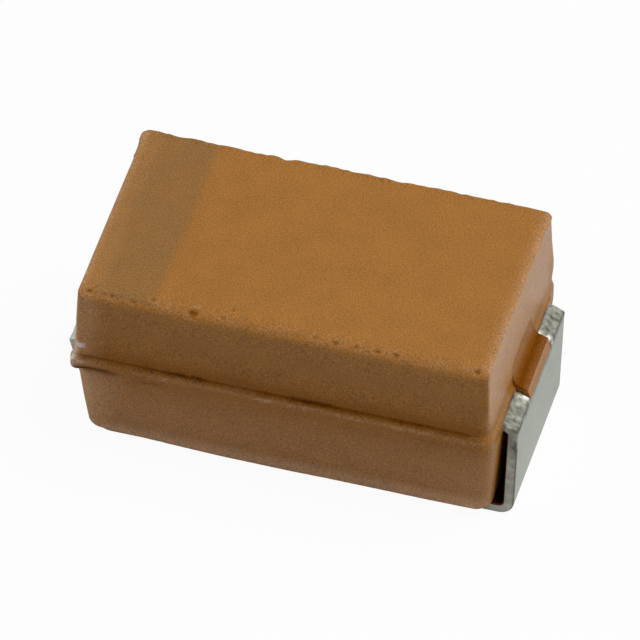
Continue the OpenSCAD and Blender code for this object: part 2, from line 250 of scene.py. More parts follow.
def lead_exit(y, z, reach, wall):
    """Outer x of the shoulder over a terminal's legs and of the nub in its window, or of the wall.

    The shoulder is one fillet along the terminal's width that fades out at its ends. The nub has a
    fillet under an arch; under its crease follow a straight ledge and a straight outer face.
    """
    end = CASE_LENGTH / 2
    foot = reach - NUB_SETBACK
    edge = foot - NUB_LEAN
    crease = end + CREASE_SHARE * (edge - end)
    height = arch_height(y)
    ledge = crease + (edge - crease) * np.clip((CREASE_Z - z) / (CREASE_Z - NUB_EDGE), 0, 1)
    face = edge + NUB_LEAN * np.clip((NUB_EDGE - z) / (NUB_EDGE - TERMINAL_PLANE), 0, 1)
    under_crease = np.where(z > NUB_EDGE, ledge, face)
    nub = np.where(z > CREASE_Z, fillet_reach(z, height, crease, CREASE_Z), under_crease)
    shoulder = fillet_reach(z, SHOULDER_HEIGHT, end + SHOULDER_REACH, TERMINAL_TOP)
    over_plane = z > TERMINAL_PLANE - 1e-6
    nub_here = over_plane & (np.abs(y) < NUB_END) & (z < TERMINAL_TOP + height)
    shoulder_here = over_plane & (z < TERMINAL_TOP + SHOULDER_HEIGHT)
    fade = ramp(np.abs(y), SHOULDER_END + 0.14, SHOULDER_END - 0.06) * shoulder_here
    covered = wall + np.maximum(shoulder - wall, 0) * fade
    return np.maximum(covered, np.where(nub_here, nub, 0))


def behind_plate(z, reach, lean):
    """Outer x of the case behind a plate at a height: the plate's inner face less the clearance."""
    crease_x, crease_z = inner_corner(crease_corner(reach, lean), -LEG_SLOPE, -90 - lean)
    tangent = np.tan(np.radians(lean))
    return crease_x - CLEARANCE * np.sqrt(1 + tangent ** 2) - (crease_z - z) * tangent


def case_grid():
    """The moulded case as one closed grid: walls of rounded rectangles in rows, flat grids over and under.

    Pairs of lines lie close where a step stands: at the nubs' ends and where the feet's recesses start.
    """
    recesses = [FOOT_LENGTH + CLEARANCE - ANODE_REACH, CATHODE_REACH - FOOT_LENGTH - CLEARANCE]
    fixed_x = even_lines(reach=2.2, spacing=0.025, steps=recesses)
    fixed_y = even_lines(reach=0.92, spacing=0.04, steps=[-NUB_END, NUB_END])
    along_x, reach_x = side_lines(fixed_x, stretched=12, corner=4)
    along_y, reach_y = side_lines(fixed_y, stretched=14, corner=6)
    z, middle, a, b, radius = np.concatenate([lower_rows(), upper_rows()], axis=1)[:, :, None]
    x = middle + along_x[0] + along_x[1] * (a - radius - reach_x) + radius * along_x[2]
    y = along_y[0] + along_y[1] * (b - radius - reach_y) + radius * along_y[2]
    off_side, off_end = radius * (1 - along_x[3]), radius * (1 - along_y[3])
    right_x, left_x = middle + a - off_end, middle + off_end - a
    front_y, back_y = off_side - b, b - off_side
    ring_x = np.concatenate([x[:, :-1], right_x[:, :-1], x[:, :0:-1], left_x[:, :0:-1]], axis=1)
    ring_y = np.concatenate([front_y[:, :-1], y[:, :-1], back_y[:, :0:-1], y[:, :0:-1]], axis=1)
    walls = np.stack([ring_x, ring_y, np.broadcast_to(z, ring_x.shape)], axis=-1)
    count_x, count_y = x.shape[1], y.shape[1]
    inner = (count_x - 2) * (count_y - 2)
    rows, around = ring_x.shape

    def flat(row):
        """The points inside the ring of a row."""
        gx, gy = np.meshgrid(x[row, 1:-1], y[row, 1:-1], indexing="ij")
        return np.stack([gx, gy, np.full_like(gx, z[row, 0])], axis=-1).reshape(-1, 3)

    def flat_index(row, start):
        """The numbers of a row's points: its ring round the outside, the flat ones from start inside."""
        index = np.empty((count_x, count_y), dtype=int)
        edge = row * around + np.arange(around)
        front, right, back = count_x - 1, count_x + count_y - 2, 2 * count_x + count_y - 3
        index[:-1, 0] = edge[:front]
        index[-1, :-1] = edge[front:right]
        index[:0:-1, -1] = edge[right:back]
        index[0, :0:-1] = edge[back:]
        index[1:-1, 1:-1] = start + np.arange(inner).reshape(count_x - 2, count_y - 2)
        return index

    points = np.concatenate([walls.reshape(-1, 3), flat(0), flat(rows - 1)])
    k, i = np.meshgrid(np.arange(rows - 1), np.arange(around), indexing="ij")
    j = (i + 1) % around
    low, high = k * around, (k + 1) * around
    under, over = flat_index(0, rows * around), flat_index(rows - 1, rows * around + inner)
    quads = [np.stack([low + i, low + j, high + j, high + i], axis=-1),
             np.stack([over[:-1, :-1], over[1:, :-1], over[1:, 1:], over[:-1, 1:]], axis=-1),
             np.stack([under[:-1, :-1], under[:-1, 1:], under[1:, 1:], under[1:, :-1]], axis=-1)]
    return points, np.concatenate([part.reshape(-1, 4) for part in quads])


# Wear, marks, and painted light and shade of the case: each mask is made of bell curves and ramps along x, y
# and z, with noise

PIT_Z, PIT_SIZE = CASE_HEIGHT - 0.01, 0.03

# Pits along the top's front edge: place along the case and across it, and radius
EDGE_PITS = (
    (-2.5, -1.44, 0.034), (-2.31, -1.44, 0.026), (-2.21, -1.45, 0.03), (-1.93, -1.49, 0.03),
    (-1.69, -1.38, 0.032), (-1.16, -1.46, 0.055), (-0.78, -1.44, 0.028), (-0.68, -1.27, 0.026),
    (0.4, -1.45, 0.026), (0.67, -1.47, 0.034), (0.94, -1.46, 0.028), (1.21, -1.47, 0.032),
    (1.45, -1.47, 0.034), (2.49, -1.46, 0.036))


def edge_pits(points, fine):
    """The pits along the top's front edge, and the broken rims round them."""
    x, y, z = points.T
    pits, rims = np.zeros_like(x), np.zeros_like(x)
    for place, across, radius in EDGE_PITS:
        away = np.sqrt((x - place) ** 2 + (y - across) ** 2 + (z - PIT_Z) ** 2) / radius
        pits = np.maximum(pits, hump(away, 0, 1) * radius / PIT_SIZE)
        rims = np.maximum(rims, hump(away, 1.9, 0.7) * ramp(fine, -0.4, 0.5))
    return {"pits": pits, "rims": rims}


def top_edges(points):
    """The top's edge, the wide zone beside it that wear has rounded, and the edge over each end."""
    x, y, z = points.T
    past_end = CASE_LENGTH / 2 - UPPER_LEAN - np.abs(x)
    past_side = CASE_WIDTH / 2 - UPPER_LEAN - np.abs(y)
    from_edge = np.maximum(np.minimum(past_end, past_side), 0) + CASE_HEIGHT - z
    from_end = np.maximum(past_end, 0) + CASE_HEIGHT - z
    return {"edge": hump(from_edge, 0, 0.06),
            "rounded": np.clip(1 - from_edge / 0.24, 0, 1) ** 2 * (y < 1.3),
            "over_end": hump(from_end, 0, 0.1) * (y < 1.45)}


def parting_line(points, side, patch):
    """Masks along the parting line: the groove, its lower flank where shade is painted, and the belt. They
    also take in the belt's ridge, where a highlight is painted, and the line under the belt, where a shadow
    is painted.
    """
    x, y, z = points.T
    front_wall = y < -SIDE_WALL
    between_ends = ramp(x, 2.52, 2.38) * ramp(x, -2.68, -2.5)
    speckle = ramp(value_noise(points, 0.05, 31) + 0.5 * patch, -0.3, 0.9)
    ridge_share = (0.3 + 0.7 * speckle) * ramp(x, -2.1, -1.4)
    stretches = ramp(x, -2.0, -2.3) + 0.3 * hump(x, -1.7, 0.2) + 0.3 * hump(x, 1.97, 0.2)
    # The line under the belt takes a painted shadow, the ridge a painted highlight, and the flank painted
    # shade.
    return {"groove": (np.abs(y) > SIDE_WALL) * hump(z, 1.718, 0.068) * between_ends,
            "flank": front_wall * hump(z, 1.675, 0.04) * between_ends,
            "belt": ramp(z, 1.43, 1.47) * ramp(z, 1.69, 1.62) * side,
            "ridge": side * (y < 0) * hump(z, 1.607, 0.03) * ridge_share,
            "under_belt": front_wall * hump(z, 1.455, 0.075) * stretches}


def lead_exit_areas(points, end):
    """Each nub, its fillet, ledge and lip, the line over the legs, the room behind the cathode's plate."""
    x, y, z = points.T
    out, across = np.abs(x), np.abs(y)
    in_window = across < NUB_END
    nub = in_window & (out > CASE_LENGTH / 2 + 0.01) & (z > TERMINAL_PLANE)
    arch_top = TERMINAL_TOP + arch_height(y)
    over_crease = in_window & (out > CASE_LENGTH / 2 - 0.1) & (z >= CREASE_Z)
    arch = over_crease * ramp(z, arch_top + 0.02, arch_top - 0.07)
    on_ledge = nub & (z < CREASE_Z) & (z > NUB_EDGE - 0.002)
    on_legs = (across > NUB_END) & (across < SHOULDER_END)
    return {"nub": nub,
            "fillet": arch * (0.5 + 0.5 * hump(z, CREASE_Z, 0.12)),
            "ledge": on_ledge * (0.65 + 0.35 * ramp(z, NUB_EDGE, CREASE_Z)),
            "lip": nub * hump(z, NUB_EDGE - 0.02, 0.025),
            "over_legs": end * on_legs * hump(z, TERMINAL_TOP, 0.025),
            "room": end * (x > 0) * (across < ROOM_END) * ramp(z, 1.44, 1.36)}


def left_corner(points, normals):
    """How far the left front corner turns, the flash on its belt, painted glints on the corner, and the
    belt's lifted foot.
    """
    x, y, z = points.T
    level = np.maximum(normals[:, 0] ** 2 + normals[:, 1] ** 2, 0.01)
    turn = np.abs(2 * normals[:, 0] * normals[:, 1]) / level * (x < 0) * (y < 0)
    spots = ramp(value_noise(points, 0.07, 32), 0.3, 0.6)
    belt_foot = np.interp(z, [1.2, BELT_FOOT, TERMINAL_PLANE, 1.62], [0, 1, 1, 0])
    at_left = ramp(x, -1.9, -2.3) * (1 - 0.7 * turn)
    return {"turn": turn,
            "flash": turn * ramp(z, 1.445, 1.458) * ramp(z, 2.2, 1.78),
            # Painted glints: pale specks on the left corner above the belt.
            "flecks": ramp(turn, 0.1, 0.5) * ramp(z, 1.46, 1.5) * ramp(z, 2.0, 1.85) * spots,
            "lifted": at_left * ramp(y, -1.15, -SIDE_WALL) * belt_foot}


def case_areas(points, normals):
    """Masks over the case by name: its faces, noise of three sizes, and the areas that wear, hold dirt or
    take painted light and shade.
    """
    side = normals[:, 1] ** 2
    end = ramp(np.abs(normals[:, 0]), 0.6, 0.9)
    broad = value_noise(points, 0.6, 11)
    patch = value_noise(points, 0.22, 13)
    fine = value_noise(points, 0.07, 12)
    return SimpleNamespace(
        side=side, front=side * (points[:, 1] < 0), end=end, top=ramp(normals[:, 2], 0.5, 0.9),
        broad=broad, patch=patch, fine=fine, dark_spots=ramp(patch + 0.7 * fine, 0.0, 0.8),
        **edge_pits(points, fine), **top_edges(points), **parting_line(points, side, patch),
        **lead_exit_areas(points, end), **left_corner(points, normals))


def soft_front_edge(y, z, soft=0.21):
    """Steps that wear the top's front edge to a parabola, which meets wall and top at that distance."""
    inset = CASE_WIDTH / 2 - np.maximum(z - BELT_TOP, 0) * UPPER_DRAFT + y
    drop = CASE_HEIGHT - z
    past = inset - drop
    near = np.abs(past) < soft
    pushed = near * np.maximum((soft + past) ** 2 / (4 * soft) - inset, 0)
    lowered = near * np.maximum((soft - past) ** 2 / (4 * soft) - drop, 0)
    return np.stack([np.zeros_like(y), pushed, -lowered], axis=-1)


def case_steps(points, normals, areas):
    """Steps of wear and moulding faults: along the normals, at the left corner and at the front edge."""
    x, y, z = points.T
    flash_step, lift_step = [-0.034, -0.03, 0], [0, 0, 0.065]
    seam_waves = (0.006 * areas.belt + 0.008 * areas.groove) * areas.patch
    waves = 0.003 * areas.broad + 0.0015 * areas.fine + seam_waves
    notch = 0.046 * hump(x, -0.79, 0.085)
    back_edge = areas.edge * (y > 1) * (0.02 + 0.02 * areas.patch + 0.008 * areas.fine - notch)
    far_corner = 0.03 * ramp(x, 2.4, 2.6) * ramp(y, 1.2, 1.45) * hump(z, 1.95, 0.2)
    worn_off = areas.rounded * (0.006 + 0.006 * np.maximum(areas.fine, 0)) + 0.014 * areas.pits
    outwards = waves + back_edge + far_corner - worn_off
    return (normals * outwards[:, None] + areas.flash[:, None] * flash_step
            + areas.lifted[:, None] * lift_step + soft_front_edge(y, z))


def case_stain_and_shade(points, areas):
    """Brown colour: dirt in the pits, and dirt with painted shadow in the groove. There is painted shade in
    the nubs' fillets and a little over the nubs, painted shade and dirt on their ledges, and a wide band of
    painted shade on the front wall about the groove.
    """
    x, _, z = points.T
    # Painted shade: the front wall is darker in a wide band about the groove, fading out at the left end.
    groove_shade = (0.3 * hump(z, 1.78, 0.42) + 0.3 * hump(z, 1.79, 0.1)) * ramp(x, -2.7, -2.2)
    return np.clip(np.maximum.reduce([
        areas.groove * (0.85 + 0.15 * ramp(x, -0.7, 0.1) + 0.3 * areas.patch),
        areas.under_belt * (1 + 0.3 * areas.patch),
        0.85 * np.minimum(areas.pits, 1),
        areas.fillet, areas.ledge, 0.1 * areas.nub,
        areas.front * groove_shade]), 0, 1)


def case_dirt_and_shade(points, areas):
    """Dark colour: dirt and painted shadow in spots along the groove, and painted shade in several places.
    These are the groove's lower flank, under the belt, the foot of the left flash, the nubs' creases, their
    ledges (partly dirt), where the end walls meet the legs, and the room behind the cathode's plate.
    """
    z = points[:, 2]
    # All of these are painted shade, with dirt only in the groove's spots and on the ledges.
    return np.maximum.reduce([
        0.65 * areas.groove ** 2 * areas.dark_spots,
        0.16 * areas.flank,
        areas.under_belt * (0.6 + 0.4 * areas.dark_spots),
        0.4 * areas.nub * hump(z, CREASE_Z, 0.02),
        0.3 * areas.ledge,
        0.6 * areas.flash * ramp(z, 1.5, 1.46),
        areas.over_legs * ramp(areas.patch, -0.5, 0.4),
        0.4 * areas.room])


def case_wear_and_light(points, areas):
    """Paler colour: wear at the pits' rims, and painted light elsewhere. There are painted highlights along
    the worn front edge of the top, on the nubs' lips, the belt's ridge, the left flash and the left corner,
    and painted reflection over the ends and on the end walls' upper parts. There is painted light from the
    floor low on the side walls and from the left on the front's left end, and the top is paler at its left
    end.
    """
    x, y, z = points.T
    # Painted light: the side walls are paler low down, as if lit from the floor, and the front is paler at
    # its left end, as if lit from the left.
    low_wall = 0.6 * ramp(z, 0.5, 0.26) + (0.13 + 0.05 * ramp(x, 0, -2.5)) * ramp(z, 1.45, 0.6)
    left_wall = 0.3 * ramp(x, -2.2, -2.6) + 0.25 * ramp(x, -1.9, -2.3) * ramp(z, 1.46, 1.36)
    # Only the pits' rims are wear alone. The front edge is wear with a painted highlight, and every other
    # term is a painted highlight, reflection or light.
    return np.maximum.reduce([
        areas.rounded * (0.12 + 0.12 * areas.patch) * (y < -1),
        areas.over_end * (0.32 + 0.08 * areas.patch),
        0.25 * areas.rims,
        0.35 * areas.lip,
        (0.65 - 0.15 * ramp(x, 0.8, 1.6)) * areas.ridge,
        areas.flash * (0.65 + 0.7 * areas.fine),
        areas.turn * hump(z, 1.86, 0.1) * ramp(areas.fine, 0.0, 0.4),
        areas.side * low_wall,
        areas.front * left_wall,
        areas.end * (0.37 - 0.1 * ramp(y, -0.8, 1.2)) * ramp(z, 1.7, 1.95),
        areas.top * 0.06 * ramp(x, -2.25, -2.45)])


def case_marks(points, areas):
    """The masks that the epoxy's finish reads, by name, several of them painted light and shade; the smear
    and the painted glints lie on the left corner.
    """
    x, _, z = points.T
    stain_and_shade = case_stain_and_shade(points, areas)
    band_edge = ramp(x + 0.02 * areas.patch + 0.01 * areas.fine, -1.57, -1.74)
    band_depth = 0.46 + 0.44 * ramp(x, -2.55, -2.28) + 0.1 * areas.broad + 0.08 * areas.patch
    smear_edge = ramp(x, -2.635, -2.68) * ramp(areas.patch + areas.fine, -1.3, 0.0)
    gloss = 0.55 + 0.1 * ramp(z, 1.5, 0.9) * areas.side + 0.45 * areas.end
    return {
        "stain_and_shade": stain_and_shade,
        "dirt_and_shade": case_dirt_and_shade(points, areas),
        "wear_and_light": case_wear_and_light(points, areas),
        "band": areas.top * band_edge * band_depth,
        "smear": np.minimum(2 * areas.flash, 1) * smear_edge,
        "painted_glint": areas.flecks,
        "glaze": gloss * (1 - stain_and_shade),
    }


def moulded_case(material):
    """The case's skin: the grid with lead exits, the terminals' rooms, a rise under the left end, wear."""
    rise_height, rise_start, rise_run, rise_power, rise_top = 0.085, -0.7, 1.98, 1.2, 1.2
    points, quads = case_grid()
    x, y, z = points.T.copy()
    right = x > 0
    reach = np.where(right, CATHODE_REACH, ANODE_REACH)
    out = np.where(np.abs(x) > END_WALL, lead_exit(y, z, reach, np.abs(x)), np.abs(x))
    behind_cathode = behind_plate(z, CATHODE_REACH, CATHODE_LEAN)
    behind_anode = behind_plate(z, ANODE_REACH, ANODE_LEAN)
    room_x = np.where(right, behind_cathode, behind_anode)
    in_width = np.abs(y) < ROOM_END
    in_room = in_width & (z < TERMINAL_PLANE)
    points[:, 0] = np.where(right, 1, -1) * np.where(in_room, np.minimum(out, room_x), out)
    over_foot = in_width & (out > reach - FOOT_LENGTH - CLEARANCE)
    rise = rise_height * np.clip((rise_start - x) / rise_run, 0, 1) ** rise_power
    points[:, 2] = np.where(over_foot, np.maximum(z, ROOM_TOP), z) + rise * ramp(z, rise_top, STANDOFF)
    normals = vertex_normals(points, quads)
    areas = case_areas(points, normals)
    worn_points = points + case_steps(points, normals, areas)
    piece = make_piece("moulded_case_skin", worn_points, quads, material, sharp_angle=40)
    for name, values in case_marks(points, areas).items():
        paint(piece, name, np.clip(values, 0, 1))
    return piece


# The terminals

def along(angle):
    """A unit step in X and Z along a direction in degrees."""
    return np.array([np.cos(np.radians(angle)), np.sin(np.radians(angle))])


def aside(angle):
    """A unit step in X and Z to the right of a direction in degrees."""
    return np.array([np.sin(np.radians(angle)), -np.cos(np.radians(angle))])


def half_tangent(angle):
    """The tangent of half an angle in degrees."""
    return np.tan(np.radians(angle / 2))


def inner_corner(corner, start, end):
    """The corner on a strip's inner side that matches one on its outer side."""
    return corner + THICKNESS * (aside(start) - half_tangent(start - end) * along(start))


def crease_corner(reach, lean):
    """The sharp corner between legs and plate, for a crease whose outermost point stands at reach."""
    slope = np.radians(LEG_SLOPE)
    z = TERMINAL_TOP - (LEG_RUN - CREASE * (1 - np.sin(slope))) * np.tan(slope) - CREASE * np.cos(slope)
    centre = np.array([reach - CREASE, z])
    to_corner = CREASE / np.cos(np.radians((90 + lean - LEG_SLOPE) / 2))
    return centre - to_corner * aside(-(90 + lean + LEG_SLOPE) / 2)


def bend(corner, start, end, radius, steps=10):
    """Points of an arc tangent to both edges of a corner, where a strip turns clockwise from start to end."""
    centre = corner - radius * half_tangent(start - end) * along(start) + radius * aside(start)
    return centre - radius * aside(np.linspace(start, end, steps + 1)).T


def arc(centre, radius, start, end, steps=10):
    """Points of an arc about a centre."""
    return centre + radius * along(np.linspace(start, end, steps + 1)).T


def densified(outer, inner, spacing):
    """Adds stations along a strip's two edges wherever the outer ones lie further apart than the spacing."""
    gaps = np.linalg.norm(np.diff(outer, axis=0), axis=1)
    counts = [max(1, math.ceil(gap / spacing)) for gap in gaps]
    parts = [np.linspace(n, n + 1, count, endpoint=False) for n, count in enumerate(counts)]
    at = np.concatenate([*parts, [len(outer) - 1]])
    index = np.arange(len(outer))
    return tuple(np.column_stack([np.interp(at, index, edge[:, n]) for n in range(2)])
                 for edge in (outer, inner))


def outer_strip(reach, lean):
    """The outer and inner edge of a terminal's section outside the case: legs, crease, plate and foot."""
    plate = -90 - lean
    leg = np.array([reach - LEG_RUN, TERMINAL_TOP])
    crease = crease_corner(reach, lean)
    heel = np.array([crease[0] - crease[1] * np.tan(np.radians(lean)), 0])
    tip = reach - FOOT_LENGTH
    outer = np.concatenate([[[JOINT_X, TERMINAL_TOP]],
                            bend(leg, 0, -LEG_SLOPE, BEND + THICKNESS),
                            bend(crease, -LEG_SLOPE, plate, CREASE),
                            bend(heel, plate, -180, BEND + THICKNESS),
                            [[tip, 0]]])
    inner = np.concatenate([[[JOINT_X, TERMINAL_PLANE]],
                            bend(inner_corner(leg, 0, -LEG_SLOPE), 0, -LEG_SLOPE, BEND),
                            bend(inner_corner(crease, -LEG_SLOPE, plate), -LEG_SLOPE, plate, CREASE_INSIDE),
                            bend(inner_corner(heel, plate, -180), plate, -180, BEND),
                            [[tip, THICKNESS]]])
    return densified(outer, inner, spacing=0.04)


def cathode_tab():
    """Upper and lower edge of the cathode's tab: in from the end wall, down its riser, along its shelf."""
    high = np.array([RISER_X + THICKNESS + BEND, TERMINAL_PLANE - BEND])
    low = np.array([RISER_X - BEND, SHELF_TOP + BEND])
    upper = np.concatenate([[[JOINT_X, TERMINAL_TOP]],
                            arc(high, BEND + THICKNESS, 90, 180),
                            arc(low, BEND, 0, -90),
                            [[SHELF_TIP, SHELF_TOP]]])
    lower = np.concatenate([[[JOINT_X, TERMINAL_PLANE]],
                            arc(high, BEND, 90, 180),
                            arc(low, BEND + THICKNESS, 0, -90),
                            [[SHELF_TIP, SHELF_TOP - THICKNESS]]])
    return upper, lower


def anode_tab():
    """Upper and lower edge of the anode's straight tab, drawn at +X."""
    return (np.array([[JOINT_X, TERMINAL_TOP], [-ANODE_TIP, TERMINAL_TOP]]),
            np.array([[JOINT_X, TERMINAL_PLANE], [-ANODE_TIP, TERMINAL_PLANE]]))


OUTER_FACE, INNER_FACE, CUT_FACE = 0, 1, 2


def strip_shell(outer, inner, lines, keep, chamfer):
    """A closed strip, its two edges carried across lines in y: two faces of kept cells and walls between.

    The points on a border step in by the chamfer. Returns the points, the quads, the face that each
    quad lies on and which points lie on a border.
    """
    stations, count = len(outer), len(lines)
    kept = np.pad(keep, 1)
    round_point = np.stack([kept[:-1, :-1], kept[1:, :-1], kept[:-1, 1:], kept[1:, 1:]])
    border = round_point.any(axis=0) & ~round_point.all(axis=0)
    step = (inner - outer) / np.linalg.norm(inner - outer, axis=1, keepdims=True)
    across = np.broadcast_to(lines, (stations, count))
    faces = []
    for edge, inward in ((outer, step), (inner, -step)):
        place = edge[:, None, :] + chamfer * border[:, :, None] * inward[:, None, :]
        faces.append(np.stack([place[..., 0], across, place[..., 1]], axis=-1).reshape(-1, 3))
    index = np.arange(stations * count).reshape(stations, count)
    cells = np.stack([index[:-1, :-1], index[:-1, 1:], index[1:, 1:], index[1:, :-1]], axis=-1)
    front = cells[keep][:, ::-1]
    under = cells[keep] + stations * count
    walls = []
    for step_i, step_j, first, second in ((-1, 0, 0, 1), (0, 1, 1, 2), (1, 0, 2, 3), (0, -1, 3, 0)):
        beyond = kept[1 + step_i:kept.shape[0] - 1 + step_i, 1 + step_j:kept.shape[1] - 1 + step_j]
        a, b = cells[keep & ~beyond][:, [first, second]].T
        walls.append(np.stack([a, b, b + stations * count, a + stations * count], axis=-1))
    walls = np.concatenate(walls)
    points, quads = np.concatenate(faces), np.concatenate([front, under, walls])
    used, packed = np.unique(quads, return_inverse=True)
    sides = np.repeat([OUTER_FACE, INNER_FACE, CUT_FACE], [len(front), len(under), len(walls)])
    return points[used], packed.reshape(quads.shape), sides, np.tile(border.ravel(), 2)[used]


def folded_strip(reach, lean):
    """A terminal's strip outside the case as a shell, with the window between its legs."""
    edge_chamfer, near_edge = 0.018, np.array([0.012, 0.03])
    outer, inner = outer_strip(reach, lean)
    leg_lines = np.concatenate([np.linspace(WINDOW_HALF, TERMINAL_HALF, 18),
                                WINDOW_HALF + near_edge, TERMINAL_HALF - near_edge])
    window_lines = np.linspace(-WINDOW_HALF, WINDOW_HALF, 26)
    lines = np.unique(np.round(np.concatenate([-leg_lines, window_lines, leg_lines]), 5))
    middle_x, middle_z = (outer[1:] + outer[:-1]).T / 2
    in_window = (middle_z > WINDOW_FOOT) & (middle_x > END_WALL)
    keep = ~(in_window[:, None] & (np.abs(lines[1:] + lines[:-1])[None, :] < 2 * WINDOW_HALF))
    return strip_shell(outer, inner, lines, keep, edge_chamfer)


def terminal(name, reach, lean, tab, flip, material):
    """One folded terminal, its strip and its tab, drawn at +X and flipped for the anode.

    Value noise roughens the legs along their normals and breaks the burrs at their edges.
    """
    rim_width, rim_top, rim_shade, flipped_mottle = 0.03, 1.2, 0.6, 0.15
    points, quads, sides, border = folded_strip(reach, lean)
    z = points[:, 2]
    on_legs = ramp(z, 1.42, 1.5)
    uneven = z + 0.05 * value_noise(points, 0.12, 44)
    cut_edge = border * ramp(z, 0.1, 0.25) * (0.5 + 0.5 * hump(z, 1.2, 0.22))
    worked = np.maximum(ramp(uneven, 1.36, 1.52), cut_edge) * (flipped_mottle if flip else 1)
    rough = 0.006 * value_noise(points, 0.06, 41) + 0.004 * value_noise(points, 0.13, 42)
    points = points + vertex_normals(points, quads) * (on_legs * rough)[:, None]
    at_window = hump(np.abs(points[:, 1]), WINDOW_HALF, 0.06)
    broken = ramp(value_noise(points, 0.06, 43), -0.1, 0.4)
    burr = np.maximum(at_window, 0.4 * border) * broken * on_legs
    middles = points[quads].mean(axis=1)
    at_edge = np.abs(middles[:, 1]) > TERMINAL_HALF - rim_width
    rim = (sides == OUTER_FACE) & at_edge & (middles[:, 2] < rim_top)

    tab_lines = np.linspace(-TAB_HALF, TAB_HALF, 5)
    whole = np.ones((len(tab[0]) - 1, len(tab_lines) - 1), dtype=bool)
    tab_points, tab_quads, tab_sides, _ = strip_shell(*tab, tab_lines, whole, chamfer=0)
    plain = np.zeros(len(tab_points))
    quads = np.concatenate([quads, tab_quads[:, ::-1] + len(points)])
    points = np.concatenate([points, tab_points])
    sides = np.concatenate([sides, tab_sides])
    if flip:
        points, quads = points * [-1, 1, 1], quads[:, ::-1]
    piece = make_piece(name, points, quads, material, sharp_angle=30)
    paint(piece, "sheared", sides == CUT_FACE, "FACE")
    # Painted shade on the inner faces, and a lighter share of it in a thin line along the plate's side edges.
    paint(piece, "shaded", (sides == INNER_FACE) + rim_shade * np.pad(rim, (0, len(tab_quads))), "FACE")
    paint(piece, "worked", np.concatenate([worked, plain]))
    paint(piece, "burr", np.concatenate([burr, plain]))
    return piece


# Finishes

def new_group(name, inputs, outputs):
    """An empty shader node group with named sockets; each input is (name, kind, value)."""
    group = bpy.data.node_groups.new(name, "ShaderNodeTree")
    for label, kind, value in inputs:
        socket = group.interface.new_socket(label, in_out="INPUT", socket_type=kind)
        socket.default_value = value
    for label, kind in outputs:
        group.interface.new_socket(label, in_out="OUTPUT", socket_type=kind)
    return group, group.nodes.new("NodeGroupInput"), group.nodes.new("NodeGroupOutput")


def grain_group():
    """Fine grain from two noises over the object: a tone about 1 and a height about 0."""
    group, inside, out = new_group("fine_grain", [
        ("Fine Scale", "NodeSocketFloat", 30000.0), ("Broad Scale", "NodeSocketFloat", 3000.0),
        ("Fine Tone", "NodeSocketFloat", 0.1), ("Broad Tone", "NodeSocketFloat", 0.06)],
        [("Tone", "NodeSocketFloat"), ("Height", "NodeSocketFloat")])
    nodes, links = group.nodes, group.links
    coords = nodes.new("ShaderNodeTexCoord")
    tones = []
    for label, detail in (("Fine", 3.0), ("Broad", 4.0)):
        noise = nodes.new("ShaderNodeTexNoise")
        noise.inputs["Detail"].default_value = detail
        links.new(coords.outputs["Object"], noise.inputs["Vector"])
        links.new(inside.outputs[f"{label} Scale"], noise.inputs["Scale"])
        centred = nodes.new("ShaderNodeMath")
        centred.operation = "SUBTRACT"
        links.new(noise.outputs["Fac"], centred.inputs[0])
        centred.inputs[1].default_value = 0.5
        scaled = nodes.new("ShaderNodeMath")
        scaled.operation = "MULTIPLY_ADD"
        links.new(centred.outputs[0], scaled.inputs[0])
        links.new(inside.outputs[f"{label} Tone"], scaled.inputs[1])
        if tones:
            links.new(tones[0].outputs[0], scaled.inputs[2])
        else:
            scaled.inputs[2].default_value = 1.0
            links.new(centred.outputs[0], out.inputs["Height"])
        tones.append(scaled)
    links.new(tones[-1].outputs[0], out.inputs["Tone"])
    return group


GRAIN = grain_group()


def new_material(name):
    """A material with its Principled shader and an empty tree otherwise."""
    material = bpy.data.materials.new(name)
    material.use_nodes = True
    nodes, links = material.node_tree.nodes, material.node_tree.links
    return material, nodes, links, nodes["Principled BSDF"]


def grain_node(nodes, fine_scale, broad_scale, fine_tone, broad_tone):
    """The shared grain, placed in a material with its own values."""
    node = nodes.new("ShaderNodeGroup")
    node.node_tree = GRAIN
    node.inputs["Fine Scale"].default_value = fine_scale
    node.inputs["Broad Scale"].default_value = broad_scale
    node.inputs["Fine Tone"].default_value = fine_tone
    node.inputs["Broad Tone"].default_value = broad_tone
    return node


def stored_mask(nodes, attribute):
    """A mask that was painted on the piece."""
    mask = nodes.new("ShaderNodeAttribute")
    mask.attribute_name = attribute
    return mask.outputs["Fac"]


def tinted(nodes, links, colour, attribute, tint):
    """Mixes a colour towards a tint by a stored mask; the colour is a socket or four numbers."""
    mask = stored_mask(nodes, attribute)
    mix = nodes.new("ShaderNodeMix")
    mix.data_type = "RGBA"
    if isinstance(colour, tuple):
        mix.inputs["A"].default_value = colour
    else:
        links.new(colour, mix.inputs["A"])
    mix.inputs["B"].default_value = tint
    links.new(mask, mix.inputs["Factor"])
    return mix.outputs["Result"]


def toned(nodes, links, colour, tone):
    """Multiplies a colour by a tone; the colour is a socket or three numbers."""
    scaled = nodes.new("ShaderNodeVectorMath")
    scaled.operation = "SCALE"
    if isinstance(colour, tuple):
        scaled.inputs[0].default_value = colour
    else:
        links.new(colour, scaled.inputs[0])
    links.new(tone, scaled.inputs["Scale"])
    return scaled.outputs[0]


def bumped(nodes, links, shader, height, distance):
    """Roughens a shader's normal by a height, to a depth in metres."""
    bump = nodes.new("ShaderNodeBump")
    bump.inputs["Distance"].default_value = distance
    links.new(height, bump.inputs["Height"])
    links.new(bump.outputs["Normal"], shader.inputs["Normal"])


